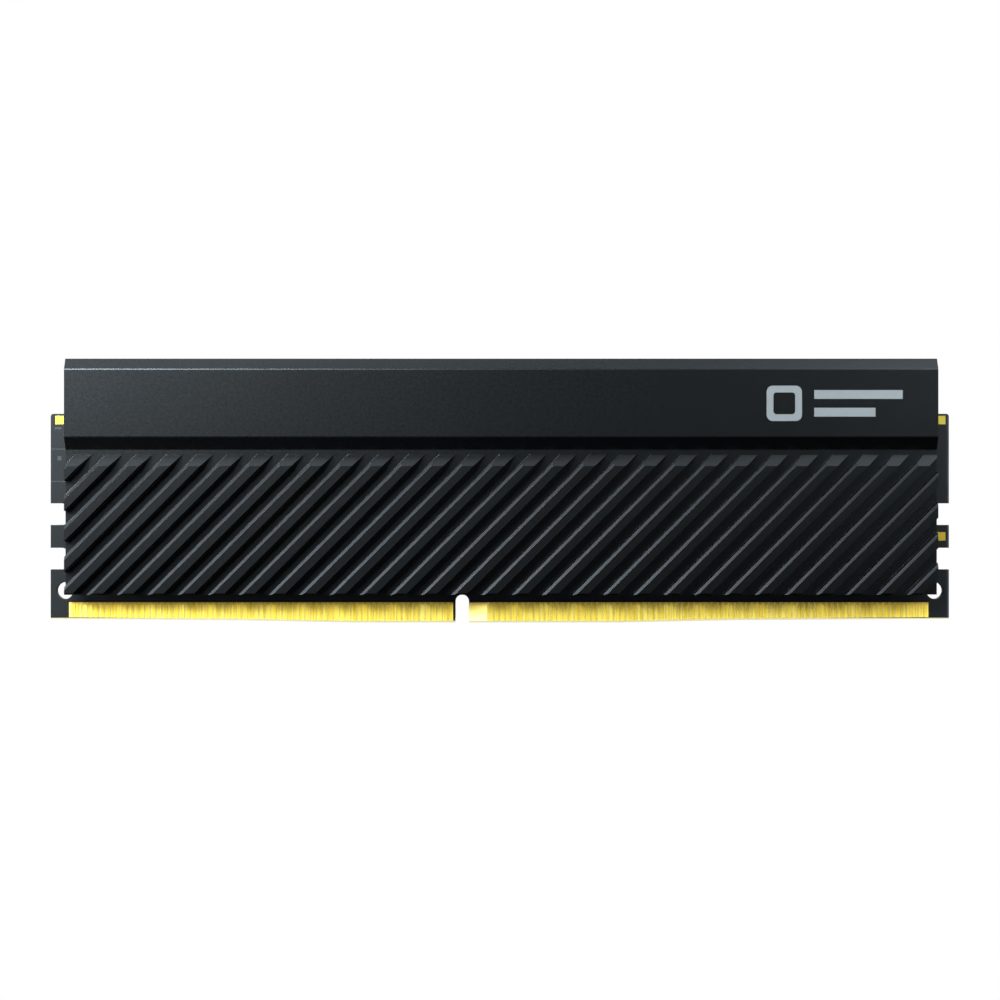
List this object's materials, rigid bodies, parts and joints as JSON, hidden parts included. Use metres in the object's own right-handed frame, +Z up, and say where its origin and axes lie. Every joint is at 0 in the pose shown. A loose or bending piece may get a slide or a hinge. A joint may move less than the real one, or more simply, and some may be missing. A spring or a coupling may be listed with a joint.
{
  "type": "ram module",
  "caption": "Desktop memory module: keyed circuit board with gold edge contacts between two black ribbed aluminium heat spreader shells.",
  "frame": {"origin": "middle of the lower board edge, on the face that seats in the socket", "axes": "+X along the board to the right as seen from the front, +Y through the thickness from front to back, +Z up, out of the socket"},
  "size_m": [0.1334, 0.0081, 0.0391],
  "materials": {
    "solder_mask": "black solder mask on glass-fibre laminate, semi-gloss",
    "gold": "hard gold plating, bright",
    "anodised_aluminium": "black anodised, fine bead-blasted satin",
    "chip_epoxy": "moulded epoxy, matte",
    "resistor": "glazed film resistor array",
    "capacitor": "multilayer ceramic, satin",
    "thermal_pad": "soft filled silicone, matte",
    "silver_print": "silver print, satin"
  },
  "bodies": {
    "root": {"capacitor_back_1": "capacitor", "capacitor_back_2": "capacitor", "capacitor_back_3": "capacitor", "capacitor_back_4": "capacitor", "capacitor_back_5": "capacitor", "capacitor_front_1": "capacitor", "capacitor_front_2": "capacitor", "capacitor_front_3": "capacitor", "capacitor_front_4": "capacitor", "capacitor_front_5": "capacitor", "circuit_board": "solder_mask", "contacts_back_left": "gold", "contacts_back_right": "gold", "contacts_front_left": "gold", "contacts_front_right": "gold", "emblem_bar_lower": "silver_print", "emblem_bar_upper": "silver_print", "emblem_frame": "silver_print", "end_pad_left_top": "gold", "end_pad_right_middle": "gold", "end_pad_right_top": "gold", "heat_spreader_back": "anodised_aluminium", "heat_spreader_front": "anodised_aluminium", "memory_chip_back_1": "chip_epoxy", "memory_chip_back_2": "chip_epoxy", "memory_chip_back_3": "chip_epoxy", "memory_chip_back_4": "chip_epoxy", "memory_chip_back_5": "chip_epoxy", "memory_chip_back_6": "chip_epoxy", "memory_chip_back_7": "chip_epoxy", "memory_chip_back_8": "chip_epoxy", "memory_chip_front_1": "chip_epoxy", "memory_chip_front_2": "chip_epoxy", "memory_chip_front_3": "chip_epoxy", "memory_chip_front_4": "chip_epoxy", "memory_chip_front_5": "chip_epoxy", "memory_chip_front_6": "chip_epoxy", "memory_chip_front_7": "chip_epoxy", "memory_chip_front_8": "chip_epoxy", "presence_detect_chip": "chip_epoxy", "resistor_array_back_1": "resistor", "resistor_array_back_2": "resistor", "resistor_array_back_3": "resistor", "resistor_array_back_4": "resistor", "resistor_array_back_5": "resistor", "resistor_array_back_6": "resistor", "resistor_array_back_7": "resistor", "resistor_array_back_8": "resistor", "resistor_array_front_1": "resistor", "resistor_array_front_2": "resistor", "resistor_array_front_3": "resistor", "resistor_array_front_4": "resistor", "resistor_array_front_5": "resistor", "resistor_array_front_6": "resistor", "resistor_array_front_7": "resistor", "resistor_array_front_8": "resistor", "thermal_pad_back": "thermal_pad", "thermal_pad_front": "thermal_pad"}
  },
  "joints": []
}
